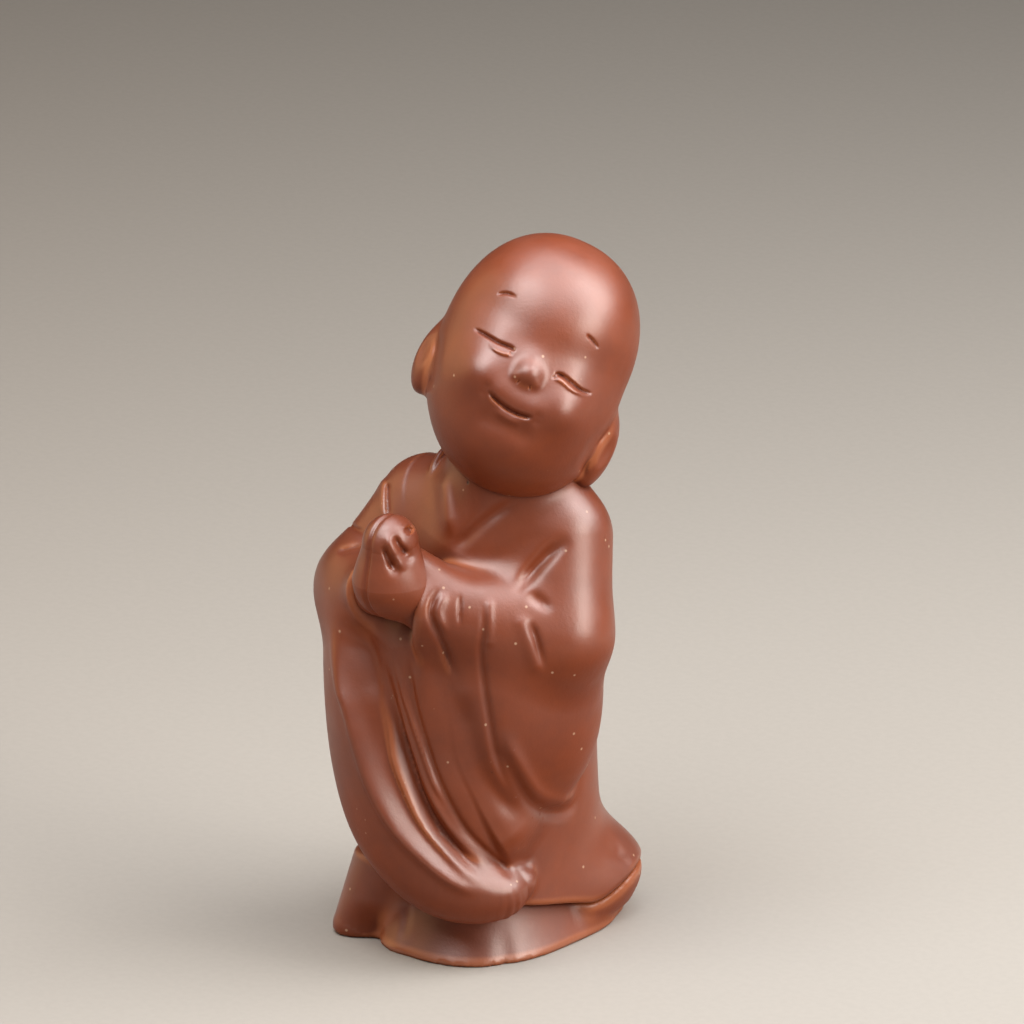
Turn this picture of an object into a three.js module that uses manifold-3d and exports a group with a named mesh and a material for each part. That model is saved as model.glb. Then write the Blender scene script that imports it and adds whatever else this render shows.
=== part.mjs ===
import * as THREE from 'three';
import { mergeVertices } from 'three/addons/utils/BufferGeometryUtils.js';
import Module from 'manifold-3d';

// Little monk in unglazed purple clay, pressed in moulds and luted together with slip.
// Millimetres, +Z up. He faces -Y, +X is his left. Each piece of clay is a distance field
// (negative inside), and its skin is a capsule dragged onto that field.

const wasm = await Module();
wasm.setup();
const { clamp, lerp, smoothstep, degToRad } = THREE.MathUtils;

// Clay walls and joints
const slipGap = 0.3;
const robeWall = 3.2;
const footWall = 3.6;
const bandThickness = 1.2;

// Robe column: height, middle and half sizes of each level
const hemHeight = 2.0;
const hemMiddleX = -0.8;
const hemMiddleY = 2.4;
const hemHalfWidth = 13.2;
const hemHalfDepth = 17.2;
const shinHeight = 14.0;
const shinMiddleY = 1.6;
const shinHalfWidth = 12.7;
const shinHalfDepth = 15.2;
const waistHeight = 32.0;
const waistMiddleX = -0.4;
const waistMiddleY = 1.0;
const waistHalfWidth = 13.3;
const waistHalfDepth = 13.6;
const chestHeight = 52.0;
const chestMiddleX = 0.1;
const bodyMiddleY = 1.4;
const chestHalfWidth = 12.8;
const chestHalfDepth = 11.4;
const shoulderHeight = 59.5;
const shoulderMiddleX = 0.8;
const shoulderHalfWidth = 11.0;
const shoulderHalfDepth = 9.3;
const neckHoleHeight = 65.0;
const neckMiddleX = 2.0;
const neckHoleHalfWidth = 7.6;
const neckHoleHalfDepth = 6.4;
const robeTop = 67.5;
const topTaper = 2.2;
const hemSquareness = 2.5;
const shinSquareness = 2.3;
const neckSquareness = 2.0;
const bodySquareness = 2.1;

// Hem: the robe ends on a plane that falls towards his left and back
const hemPlaneHeight = 7.7;
const hemFallLeft = 0.14;
const hemFallBack = 0.21;

// Under robe: the flared skirt that he stands on, with one pointed corner
const footHalfWidth = 13.6;
const footHalfDepth = 18.3;
const footMiddleX = -0.6;
const footMiddleY = 2.6;
const footFlareAside = 2.6;
const footFlareAlong = 3.4;
const footFlareHeight = 5.5;
const footTop = 16.0;
const cornerTop = new THREE.Vector3(-7.4, -7.4, 16.0);
const cornerTip = new THREE.Vector3(-12.3, -12.6, 1.0);
const cornerTopRadius = 6.0;
const cornerTipRadius = 3.4;

// Train: the robe's rounded heel behind
const trainX = 4.6;
const trainY = 12.6;
const trainHeight = 5.0;
const trainHalfWidth = 8.8;
const trainHalfDepth = 9.0;
const trainHalfHeight = 6.0;

// Arms
const upperArmRadius = 6.6;
const elbowRadius = 6.2;
const wristRadius = 4.3;
const leftShoulder = new THREE.Vector3(10.6, 1.8, 57.2);
const leftElbow = new THREE.Vector3(13.6, -2.0, 45.5);
const leftWrist = new THREE.Vector3(2.6, -15.8, 50.2);
const rightShoulder = new THREE.Vector3(-9.4, -1.2, 57.8);
const rightElbow = new THREE.Vector3(-14.8, -7.5, 46.8);
const rightWrist = new THREE.Vector3(-5.4, -16.2, 51.0);

// Cuffs: a point on each rim and the way its opening faces
const leftCuff = new THREE.Vector3(4.9, -18.0, 51.0);
const leftCuffWay = new THREE.Vector3(-0.88, -0.46, 0.1).normalize();
const rightCuff = new THREE.Vector3(-6.6, -18.0, 51.0);
const rightCuffWay = new THREE.Vector3(0.88, -0.46, 0.1).normalize();

// Cloth that hangs from the left forearm, thinner downwards
const curtainThickness = 2.8;
const curtainThinning = 0.12;

// Hanging pouch of the left sleeve, which drops from the elbow
const pouchHeading = degToRad(66);
const pouchReach = 8.2;
const pouchDrop = 7.5;
const pouchHalfWidth = 11.2;
const pouchHalfDepth = 9.6;
const pouchHalfHeight = 18.0;
const pouchSquareness = 2.4;

// Drape of the right sleeve, from elbow to tip. Each station: heading round him from the
// front, height of its middle, reach from the axis, half width and half thickness
const drapeCourse = [
  [-52, 48.0, 16.6, 5.5, 4.6],
  [-42, 42.0, 17.0, 7.0, 5.0],
  [-32, 35.0, 17.0, 7.6, 5.2],
  [-23, 27.5, 16.8, 7.6, 5.2],
  [-11, 20.4, 16.4, 7.0, 5.0],
  [6, 14.8, 15.6, 6.0, 4.6],
  [24, 11.8, 14.8, 5.2, 4.2],
  [43, 10.8, 13.6, 4.2, 3.8],
  [55, 11.4, 12.9, 3.2, 3.0],
];
const drapeSquareness = 2.4;

// Crest of the drape, each point a heading and a height. The cloth falls away on its inner side
const crestCourse = [
  [-36, 46.5],
  [-24, 38.3],
  [-17, 34.5],
  [-7, 26.4],
  [3, 20.8],
  [16, 16.4],
  [30, 13.1],
  [42, 11.3],
];
const crestFall = 3.2;
const crestFallWidth = 6.0;

// Front edge of the left panel, each point a heading and a height, and the grooves beside it
const panelEdge = [[13, 47], [17, 40], [22, 30.4], [29, 25], [37, 20], [46, 15.5], [55, 11.5]];
const panelRise = 2.3;
const panelBevel = 2.2;
const panelFade = 9.0;
const foldRunIn = 0.13;
const grooveDepth = 0.6;
const grooveHalfWidth = 0.75;
const grooveOffsets = [2.2, 4.6];
const foldReach = 17.0;

// Collar bands, each point a heading and a height. The right one goes round the nape
const bandHalfWidth = 3.2;
const nape = [[-215, 64.2], [-185, 64.2], [-130, 63.8], [-85, 63.2]];
const rightLapel = [[-55, 61.6], [-34, 59.4], [-14, 56.8], [2, 54.2]];
const leftLapel = [[96, 63.2], [66, 61.2], [42, 58.2], [16, 54.6], [-4, 52.4]];
const bandSquareness = 3.2;

// Hands pressed together, from the heel of the palms to the finger tips
const palmHeel = new THREE.Vector3(-0.8, -19.2, 53.8);
const palmTips = new THREE.Vector3(-0.5, -19.6, 59.8);
const palmHeelRadius = 5.1;
const palmTipRadius = 3.7;
const palmFlatness = 0.9;
const palmWristRadius = 3.8;
const fingerGroove = 0.8;
const fingerGrooveHalfWidth = 0.6;
const fingerPitch = 2.1;
const fingerForward = 0.6;

// Head, in its own frame: x to his left, y back, z to the crown
const headPlace = new THREE.Vector3(5.1, 2.6, 79.5);
const headTurn = degToRad(40);
const headNod = degToRad(20);
const headTilt = degToRad(25);
const craniumHalfWidth = 12.7;
const craniumHalfDepth = 14.0;
const craniumHalfHeight = 15.4;
const craniumSquareness = 2.2;
const craniumRise = 2.0;
const craniumRight = 0.4;
const cheekHalfWidth = 12.0;
const cheekHalfDepth = 12.0;
const cheekHalfHeight = 9.6;
const cheekDrop = 5.8;
const cheekForward = 1.2;
const jawHalfWidth = 10.4;
const jawHalfDepth = 9.8;
const jawHalfHeight = 8.0;
const jawDrop = 9.3;
const jawForward = 2.6;
const jawLeft = 1.0;
const noseRadius = 1.9;
const noseDrop = 1.4;
const noseSink = 0.8;
const appleRadius = 4.2;
const appleSpread = 6.4;
const appleDrop = 3.6;
const appleForward = 9.2;
const earHalfDepth = 3.6;
const earHalfHeight = 5.3;
const earThickness = 2.5;
const earDrop = 5.9;
const earBack = 1.5;
const earSink = 0.4;
const headSeamBack = 6.4;

// Lines pressed into the face: [x, z] points and the radius of the tool
const faceLines = [
  { points: [[-9.0, 0.8], [-7.2, 0.5], [-5.0, 0.2], [-3.0, 0.0]], radius: 0.34 },
  { points: [[3.0, -0.5], [4.6, -0.3], [6.6, -0.5], [8.8, 0.0]], radius: 0.34 },
  { points: [[-8.0, 6.2], [-6.9, 6.7], [-5.8, 6.8]], radius: 0.26 },
  { points: [[4.7, 6.4], [5.8, 6.1], [7.0, 5.4]], radius: 0.26 },
  { points: [[-3.4, -5.9], [-1.5, -6.2], [0.0, -6.4], [1.5, -6.1], [3.0, -5.9]], radius: 0.36 },
];

// Neck
const neckRadius = 7.2;
const neckFoot = new THREE.Vector3(2.0, 1.2, 58.0);
const neckTop = new THREE.Vector3(4.0, 1.8, 72.0);

// Hollow under the robe, open at the foot
const hollowTop = 46.0;
const robeSeamY = 1.5;

// How softly each form runs into the next
const soft = {
  heel: 4.5,
  elbow: 2.6,
  drape: 4,
  curtain: 4,
  pouch: 3,
  skirt: 5,
  cheek: 4,
  jaw: 3,
  apple: 2.4,
  wrist: 2.5,
};

// Facets of each skin: round it, along it and over each end
const facets = {
  robe: [46, 22, 6],
  hollow: [24, 5, 3],
  foot: [46, 5, 3],
  footHollow: [32, 3, 4],
  leftSleeve: [28, 8, 6],
  rightSleeve: [20, 18, 6],
  hands: [28, 2, 8],
  neck: [28, 4, 4],
  head: [36, 2, 11],
  ear: [14, 2, 4],
};
const perStation = 3;
const aroundBand = 12;
const aroundFaceLine = 6;
const noseFacets = 12;

// How a skin point walks to its field: share of the distance per step, when to stop
const strideShare = 0.6;
const closeEnough = 0.003;
const mostStrides = 200;

// Distances beyond everything, below the ground, and next to nothing
const outside = 46;
const buried = 6;
const tiny = 1e-6;

const clay = { color: 0x8a4a34, roughness: 0.48, metalness: 0.0 };
const tones = { paler: 0x9a5840, darker: 0x7c4030 };

// Distance fields

function softUnion(a, b, k) {
  const h = clamp(0.5 + (0.5 * (b - a)) / k, 0, 1);
  return lerp(b, a, h) - k * h * (1 - h);
}

function limb(p, from, to, fromRadius, toRadius) {
  const along = to.clone().sub(from);
  const t = clamp(p.clone().sub(from).dot(along) / along.lengthSq(), 0, 1);
  return p.distanceTo(from.clone().addScaledVector(along, t)) - lerp(fromRadius, toRadius, t);
}

function egg(x, y, z, halfX, halfY, halfZ, squareness = 2) {
  const shares = [Math.abs(x / halfX) + tiny, Math.abs(y / halfY) + tiny, Math.abs(z / halfZ) + tiny];
  const near = shares.reduce((sum, share) => sum + share ** squareness, 0) ** (1 / squareness);
  const steep = shares.map((share) => (share / near) ** (squareness - 1));
  return (near - 1) / Math.hypot(steep[0] / halfX, steep[1] / halfY, steep[2] / halfZ);
}

// Superellipse ring through levels of [height, middleX, middleY, halfWidth, halfDepth, squareness]
function column(levels) {
  const heights = levels.map((level) => level[0]);
  const sizes = levels.flatMap((level) => level.slice(1));
  const shape = new THREE.CubicInterpolant(heights, sizes, 5);
  const last = heights.length - 1;
  return (p) => {
    const z = clamp(p.z, heights[0], heights[last]);
    const [middleX, middleY, halfWidth, halfDepth, squareness] = shape.evaluate(z);
    const x = Math.abs(p.x - middleX) + tiny;
    const y = Math.abs(p.y - middleY);
    const size = ((x / halfWidth) ** squareness + (y / halfDepth) ** squareness) ** (1 / squareness);
    const side = Math.hypot(x, y) * (1 - 1 / size);
    return Math.max(side, p.z - heights[last], -p.z - buried);
  };
}

const topHalfWidth = neckHoleHalfWidth - topTaper;
const topHalfDepth = neckHoleHalfDepth - topTaper;
const bareRobe = column([
  [hemHeight, hemMiddleX, hemMiddleY, hemHalfWidth, hemHalfDepth, hemSquareness],
  [shinHeight, hemMiddleX, shinMiddleY, shinHalfWidth, shinHalfDepth, shinSquareness],
  [waistHeight, waistMiddleX, waistMiddleY, waistHalfWidth, waistHalfDepth, bodySquareness],
  [chestHeight, chestMiddleX, bodyMiddleY, chestHalfWidth, chestHalfDepth, bodySquareness],
  [shoulderHeight, shoulderMiddleX, bodyMiddleY, shoulderHalfWidth, shoulderHalfDepth, bodySquareness],
  [neckHoleHeight, neckMiddleX, bodyMiddleY, neckHoleHalfWidth, neckHoleHalfDepth, neckSquareness],
  [robeTop, neckMiddleX, bodyMiddleY, topHalfWidth, topHalfDepth, neckSquareness],
]);

// Signed distance to a line drawn on the robe, unrolled to arc and height: positive to his left
function surfaceLine(course) {
  const onSheet = ([heading, height]) => new THREE.Vector2(degToRad(heading) * foldReach, height);
  const line = new THREE.SplineCurve(course.map(onSheet)).getPoints(perStation * course.length);
  return (p) => {
    const here = new THREE.Vector2(Math.atan2(p.x, -p.y) * foldReach, p.z);
    let best = Infinity;
    let found = { distance: outside, share: 0 };
    for (let i = 0; i + 1 < line.length; i += 1) {
      const along = line[i + 1].clone().sub(line[i]);
      const from = here.clone().sub(line[i]);
      const t = clamp(from.dot(along) / along.lengthSq(), 0, 1);
      const off = from.addScaledVector(along, -t);
      if (off.length() < best) {
        best = off.length();
        const side = Math.sign(along.cross(off)) || 1;
        found = { distance: best * side, share: (i + t) / (line.length - 1) };
      }
    }
    return found;
  };
}

function drapePoint([heading, height, reach]) {
  const turn = degToRad(heading);
  return new THREE.Vector3(reach * Math.sin(turn), -reach * Math.cos(turn), height);
}

// Flattened roll of cloth along a course of [heading, height, reach, half width, half thickness]
function clothRoll(course, squareness) {
  const middle = new THREE.CatmullRomCurve3(course.map(drapePoint));
  const stations = perStation * course.length;
  const points = middle.getPoints(stations);
  const knots = course.map((row, i) => i);
  const sizes = new THREE.CubicInterpolant(knots, course.flatMap((row) => [row[0], row[3], row[4]]), 3);
  const rows = points.map((point, i) => {
    const [heading, halfWidth, halfThick] = sizes.evaluate((i * (course.length - 1)) / stations);
    const turn = degToRad(heading);
    return { point, halfWidth, halfThick, out: new THREE.Vector3(Math.sin(turn), -Math.cos(turn), 0) };
  });
  return (p) => {
    let best = Infinity;
    let distance = outside;
    for (let i = 0; i + 1 < rows.length; i += 1) {
      const along = rows[i + 1].point.clone().sub(rows[i].point);
      const from = p.clone().sub(rows[i].point);
      const t = clamp(from.dot(along) / along.lengthSq(), 0, 1);
      from.addScaledVector(along, -t);
      const gap = from.lengthSq();
      if (gap < best) {
        best = gap;
        const outward = from.dot(rows[i].out) * (1 - t) + from.dot(rows[i + 1].out) * t;
        const across = Math.sqrt(Math.max(gap - outward * outward, 0)) + tiny;
        const thick = lerp(rows[i].halfThick, rows[i + 1].halfThick, t);
        const wide = lerp(rows[i].halfWidth, rows[i + 1].halfWidth, t);
        const size = Math.abs(outward / thick) ** squareness + (across / wide) ** squareness;
        distance = (Math.sqrt(gap) + tiny) * (1 - 1 / size ** (1 / squareness));
      }
    }
    return distance;
  };
}

// The robe: column, panel edge, grooves and train

const panelLine = surfaceLine(panelEdge);

function foldRise(p) {
  const { distance, share } = panelLine(p);
  const ends = smoothstep(share, 0, foldRunIn) * (1 - smoothstep(share, 1 - foldRunIn, 1));
  const rise = smoothstep(distance, -panelBevel / 2, panelBevel / 2);
  const panel = rise * (1 - smoothstep(distance, panelBevel, panelFade)) * panelRise;
  const grooves = grooveOffsets.reduce((sum, offset) => {
    const across = (distance + offset) / grooveHalfWidth;
    return sum + grooveDepth * Math.exp(-across * across);
  }, 0);
  return (panel - grooves) * ends;
}

function heelField(p) {
  const [x, y, z] = [p.x - trainX, p.y - trainY, p.z - trainHeight];
  return egg(x, y, z, trainHalfWidth, trainHalfDepth, trainHalfHeight);
}

function robeField(p) {
  return softUnion(bareRobe(p) - foldRise(p), heelField(p), soft.heel);
}

// The sleeves

const drape = clothRoll(drapeCourse, drapeSquareness);
const crestLine = surfaceLine(crestCourse);
const pastCuff = (p, rim, way) => p.clone().sub(rim).dot(way);

function crestDip(p) {
  const { distance, share } = crestLine(p);
  const ends = smoothstep(share, 0, foldRunIn) * (1 - smoothstep(share, 1 - foldRunIn, 1));
  return crestFall * smoothstep(distance, 0, crestFallWidth) * ends;
}

function rightSleeveField(p) {
  const upper = limb(p, rightShoulder, rightElbow, upperArmRadius, elbowRadius);
  const fore = limb(p, rightElbow, rightWrist, elbowRadius, wristRadius);
  const cuffed = Math.max(fore, pastCuff(p, rightCuff, rightCuffWay));
  return softUnion(softUnion(upper, cuffed, soft.elbow), drape(p) + crestDip(p), soft.drape);
}

const pouchOut = new THREE.Vector3(Math.sin(pouchHeading), -Math.cos(pouchHeading), 0);
const pouchHeight = leftElbow.z - pouchDrop;
const pouchMiddle = pouchOut.clone().multiplyScalar(pouchReach).setZ(pouchHeight);

function pouchField(p) {
  const from = p.clone().sub(pouchMiddle);
  const across = from.y * pouchOut.x - from.x * pouchOut.y;
  const outward = from.x * pouchOut.x + from.y * pouchOut.y;
  return egg(across, outward, from.z, pouchHalfWidth, pouchHalfDepth, pouchHalfHeight, pouchSquareness);
}

// A sheet below the line from elbow to wrist
function curtainField(p) {
  const along = leftWrist.clone().sub(leftElbow);
  const flat = along.clone().setZ(0);
  const t = clamp(p.clone().sub(leftElbow).dot(flat) / flat.lengthSq(), 0, 1);
  const off = p.clone().sub(leftElbow).addScaledVector(along, -t);
  const sheet = Math.hypot(off.x, off.y, Math.max(off.z, 0)) - curtainThickness;
  return sheet + curtainThinning * Math.max(-off.z, 0);
}

function leftSleeveField(p) {
  const upper = limb(p, leftShoulder, leftElbow, upperArmRadius, elbowRadius);
  const fore = limb(p, leftElbow, leftWrist, elbowRadius, wristRadius);
  const hanging = softUnion(pouchField(p), curtainField(p), soft.curtain);
  const sleeve = softUnion(softUnion(upper, fore, soft.elbow), hanging, soft.pouch);
  return Math.max(sleeve, pastCuff(p, leftCuff, leftCuffWay));
}

// The under robe: a ring that narrows quickly above the ground, then slowly

const footLevel = (height, share) => [
  height,
  footMiddleX,
  footMiddleY,
  footHalfWidth - footFlareAside * share,
  footHalfDepth - footFlareAlong * share,
  hemSquareness,
];
const footColumn = column([
  footLevel(0, 0),
  footLevel(footFlareHeight / 2, 0.5),
  footLevel(footFlareHeight, 0.9),
  footLevel(footTop, 1.1),
]);

function underRobeField(p) {
  const corner = limb(p, cornerTop, cornerTip, cornerTopRadius, cornerTipRadius);
  return softUnion(footColumn(p), corner, soft.skirt);
}

// The head, in its own frame

const headForward = new THREE.Vector3(0, -1, 0)
  .applyAxisAngle(new THREE.Vector3(-1, 0, 0), headNod)
  .applyAxisAngle(new THREE.Vector3(0, 0, 1), headTurn);
const headRight = new THREE.Vector3(1, 0, 0).applyAxisAngle(new THREE.Vector3(0, 0, 1), headTurn);
const headMatrix = new THREE.Matrix4().makeBasis(
  headRight,
  headForward.clone().negate(),
  new THREE.Vector3().crossVectors(headRight, headForward.clone().negate()),
);
headMatrix.multiply(new THREE.Matrix4().makeRotationY(headTilt));
headMatrix.setPosition(headPlace);

function headField(p) {
  const [x, y, z] = [p.x + craniumRight, p.y, p.z - craniumRise];
  const cranium = egg(x, y, z, craniumHalfWidth, craniumHalfDepth, craniumHalfHeight, craniumSquareness);
  const [cheekY, cheekZ] = [y + cheekForward, p.z + cheekDrop];
  const cheeks = egg(p.x, cheekY, cheekZ, cheekHalfWidth, cheekHalfDepth, cheekHalfHeight);
  const [jawX, jawY, jawZ] = [p.x - jawLeft, y + jawForward, p.z + jawDrop];
  const jaw = egg(jawX, jawY, jawZ, jawHalfWidth, jawHalfDepth, jawHalfHeight);
  const skull = softUnion(softUnion(cranium, cheeks, soft.cheek), jaw, soft.jaw);
  const aside = Math.abs(p.x) - appleSpread;
  const apples = egg(aside, y + appleForward, p.z + appleDrop, appleRadius, appleRadius, appleRadius);
  return softUnion(skull, apples, soft.apple);
}

const earX = craniumHalfWidth - earSink;

function earField(side) {
  return (p) => {
    const [x, y, z] = [p.x - side * earX, p.y - earBack, p.z + earDrop];
    return egg(x, y, z, earThickness, earHalfDepth, earHalfHeight);
  };
}

function reachFace(x, z) {
  const point = new THREE.Vector3(x, -craniumHalfDepth, z);
  for (let step = 0; step < mostStrides; step += 1) point.y += strideShare * headField(point);
  return point;
}

const neckField = (p) => limb(p, neckFoot, neckTop, neckRadius, neckRadius);

// Collar bands: flat rolls whose middle lies on the robe

function onRobe([heading, height]) {
  const way = new THREE.Vector3(Math.sin(degToRad(heading)), -Math.cos(degToRad(heading)), 0);
  const point = new THREE.Vector3();
  let reach = 0;
  for (let step = 0; step < mostStrides; step += 1) {
    reach -= strideShare * robeField(point.copy(way).multiplyScalar(reach).setZ(height));
  }
  return [heading, height, reach, bandHalfWidth, bandThickness];
}

const rightBandCourse = [...nape, ...rightLapel].map(onRobe);
const leftBandCourse = leftLapel.map(onRobe);

// The hands, with the grooves between the fingers

function handsField(p) {
  const squeezed = p.clone().setX(palmHeel.x + (p.x - palmHeel.x) / palmFlatness);
  const palms = limb(squeezed, palmHeel, palmTips, palmHeelRadius, palmTipRadius);
  const leftRoot = limb(p, palmHeel, leftWrist, palmWristRadius, palmWristRadius);
  const rightRoot = limb(p, palmHeel, rightWrist, palmWristRadius, palmWristRadius);
  const onFingers = smoothstep(p.z, palmTips.z - fingerPitch, palmTips.z);
  const groove = [-1, 0, 1].reduce((sum, i) => {
    const across = (p.y - palmTips.y - fingerForward - i * fingerPitch) / fingerGrooveHalfWidth;
    return sum + fingerGroove * Math.exp(-across * across) * onFingers;
  }, 0);
  return softUnion(softUnion(palms + groove, leftRoot, soft.wrist), rightRoot, soft.wrist);
}

// Dragging capsules onto the fields

// A spine is a line inside the piece. Rays leave it square to its run, and fan out at its ends.
function wrap(field, spine, [around, up, over]) {
  const geometry = new THREE.CapsuleGeometry(1, 1, over, around, up);
  geometry.rotateX(Math.PI / 2);
  const points = geometry.getAttribute('position');
  const vertex = new THREE.Vector3();
  for (let i = 0; i < points.count; i += 1) {
    vertex.fromBufferAttribute(points, i);
    const share = clamp(vertex.z + 0.5, 0, 1);
    const local = vertex.clone().setZ(vertex.z + 0.5 - share);
    const { foot, sideways, outward, onward } = spine(share);
    const way = sideways.multiplyScalar(local.x);
    way.addScaledVector(outward, local.y).addScaledVector(onward, local.z).normalize();
    let reach = 0;
    let distance = -1;
    for (let step = 0; step < mostStrides && Math.abs(distance) > closeEnough; step += 1) {
      distance = field(vertex.copy(foot).addScaledVector(way, reach));
      reach -= distance * strideShare;
    }
    points.setXYZ(i, vertex.x, vertex.y, vertex.z);
  }
  return geometry;
}

function uprightSpine(x, y, bottom, top) {
  return (share) => ({
    foot: new THREE.Vector3(x, y, lerp(bottom, top, share)),
    sideways: new THREE.Vector3(1, 0, 0),
    outward: new THREE.Vector3(0, 1, 0),
    onward: new THREE.Vector3(0, 0, 1),
  });
}

function bentSpine(curve) {
  return (share) => {
    const foot = curve.getPointAt(share);
    const onward = curve.getTangentAt(share);
    const sideways = new THREE.Vector3(foot.x, foot.y, 0).cross(onward).normalize();
    return { foot, onward, sideways, outward: new THREE.Vector3().crossVectors(onward, sideways) };
  };
}

function toSolid(geometry) {
  const bare = geometry.clone();
  bare.deleteAttribute('normal');
  bare.deleteAttribute('uv');
  const merged = mergeVertices(bare, 1e-4);
  const index = merged.getIndex().array;
  const kept = [];
  for (let i = 0; i < index.length; i += 3) {
    const [a, b, c] = [index[i], index[i + 1], index[i + 2]];
    if (a !== b && b !== c && c !== a) kept.push(a, b, c);
  }
  return new wasm.Manifold(new wasm.Mesh({
    numProp: 3,
    vertProperties: new Float32Array(merged.getAttribute('position').array),
    triVerts: new Uint32Array(kept),
  }));
}

// The one body of a cut piece, without the crumbs that a shallow cut leaves
function mainBody(solid) {
  return solid.decompose().sort((a, b) => b.volume() - a.volume())[0];
}

function fromSolid(solid) {
  const mesh = solid.getMesh();
  const geometry = new THREE.BufferGeometry();
  const positions = new Float32Array((mesh.vertProperties.length / mesh.numProp) * 3);
  for (let i = 0; i * 3 < positions.length; i += 1) {
    for (let k = 0; k < 3; k += 1) positions[i * 3 + k] = mesh.vertProperties[i * mesh.numProp + k];
  }
  geometry.setAttribute('position', new THREE.BufferAttribute(positions, 3));
  geometry.setIndex(new THREE.BufferAttribute(new Uint32Array(mesh.triVerts), 1));
  return geometry;
}

function block(width, depth, height, place) {
  return toSolid(new THREE.BoxGeometry(width, depth, height).applyMatrix4(place));
}

const robeSpine = uprightSpine(waistMiddleX, waistMiddleY, 0, chestHeight);
const grown = (field, by) => (p) => field(p) - by;
const robeWrap = (field) => toSolid(wrap(field, robeSpine, facets.robe));
const at = (x, y, z) => new THREE.Matrix4().makeTranslation(x, y, z);

// The plane of the hem
const hemUp = new THREE.Vector3(hemFallLeft, hemFallBack, 1).normalize();
const hemTurn = new THREE.Quaternion().setFromUnitVectors(new THREE.Vector3(0, 0, 1), hemUp);
const hemLevel = hemPlaneHeight * hemUp.z;
function belowHem(lift) {
  const middle = hemUp.clone().multiplyScalar(hemLevel + lift - outside);
  const place = new THREE.Matrix4().compose(middle, hemTurn, new THREE.Vector3(1, 1, 1));
  return block(4 * outside, 4 * outside, 2 * outside, place);
}
const ground = block(2 * outside, 2 * outside, 2 * outside, at(0, 0, -outside));

// Solids that the others are cut by
const headSpine = uprightSpine(0, 0, craniumRise - cheekDrop, 2 * craniumRise);
function earWrap(side, by) {
  const earSpine = uprightSpine(side * earX, earBack, -earDrop - 1, -earDrop + 1);
  return wrap(grown(earField(side), by), earSpine, facets.ear);
}
const headWrap = (by) => wrap(grown(headField, by), headSpine, facets.head);

const bareHeadGrown = headWrap(slipGap);
const headGrown = toSolid(bareHeadGrown.clone().applyMatrix4(headMatrix))
  .add(toSolid(earWrap(1, slipGap).applyMatrix4(headMatrix)))
  .add(toSolid(earWrap(-1, slipGap).applyMatrix4(headMatrix)));
const robeGrown = robeWrap(grown(robeField, slipGap));
const inPouch = pouchMiddle.clone().lerp(leftElbow, 0.5);
const leftSleeveSpine = uprightSpine(inPouch.x, inPouch.y, pouchHeight - elbowRadius, leftElbow.z);
const leftSleeveWrap = (by) => wrap(grown(leftSleeveField, by), leftSleeveSpine, facets.leftSleeve);
const drapeLine = new THREE.CatmullRomCurve3([rightElbow, ...drapeCourse.slice(2).map(drapePoint)]);
const rightSleeveSpine = bentSpine(drapeLine);
const rightSleeveWrap = (by) => wrap(grown(rightSleeveField, by), rightSleeveSpine, facets.rightSleeve);
const sleevesGrown = toSolid(leftSleeveWrap(slipGap)).add(toSolid(rightSleeveWrap(slipGap)));
const dressedGrown = robeGrown.add(sleevesGrown);

// Robe halves round the hollow
const hollowSpine = uprightSpine(waistMiddleX, waistMiddleY, 0, hollowTop - waistHalfWidth);
const hollowField = (p) => Math.max(bareRobe(p) + robeWall, p.z - hollowTop);
const hollow = toSolid(wrap(hollowField, hollowSpine, facets.hollow));
const robeShell = robeWrap(robeField).subtract(belowHem(0)).subtract(hollow).subtract(headGrown);
const frontHalf = block(2 * outside, 2 * outside, 4 * outside, at(0, robeSeamY - outside - slipGap / 2, 0));
const backHalf = block(2 * outside, 2 * outside, 4 * outside, at(0, robeSeamY + outside + slipGap / 2, 0));
const robeFront = mainBody(robeShell.intersect(frontHalf));
const robeBack = mainBody(robeShell.intersect(backHalf));

// Under robe
const footSpine = uprightSpine(footMiddleX, footMiddleY, 0, footTop / 2);
const footHollow = toSolid(wrap(grown(footColumn, -footWall), footSpine, facets.footHollow));
const footWrap = (by) => toSolid(wrap(grown(underRobeField, by), footSpine, facets.foot));
const underRobe = mainBody(footWrap(0).subtract(ground).subtract(footHollow).intersect(belowHem(-slipGap)));
const footGrown = footWrap(slipGap).intersect(belowHem(0));

// Sleeves
const sleeveClears = robeGrown.add(footGrown).add(headGrown);
const leftSleeve = mainBody(toSolid(leftSleeveWrap(0)).subtract(sleeveClears));
const rightSleeveClears = sleeveClears.add(toSolid(leftSleeveWrap(slipGap)));
const rightSleeve = mainBody(toSolid(rightSleeveWrap(0)).subtract(rightSleeveClears));

// Hands, parted palm to palm
const handsSpine = bentSpine(new THREE.LineCurve3(palmHeel, palmTips));
const handsWrap = (by) => toSolid(wrap(grown(handsField, by), handsSpine, facets.hands));
const hands = handsWrap(0).subtract(dressedGrown);
const sideOfPalms = (side) => {
  const middle = palmHeel.x + side * (outside + slipGap / 2);
  return block(2 * outside, 2 * outside, 4 * outside, at(middle, 0, 0));
};
const leftHand = mainBody(hands.intersect(sideOfPalms(1)));
const rightHand = mainBody(hands.intersect(sideOfPalms(-1)));
const handsGrown = handsWrap(slipGap);

// Neck
const neckSpine = bentSpine(new THREE.LineCurve3(neckFoot, neckTop));
const neckWrap = (by) => toSolid(wrap(grown(neckField, by), neckSpine, facets.neck));
const neckTube = mainBody(neckWrap(0).subtract(dressedGrown).subtract(headGrown));

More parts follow.
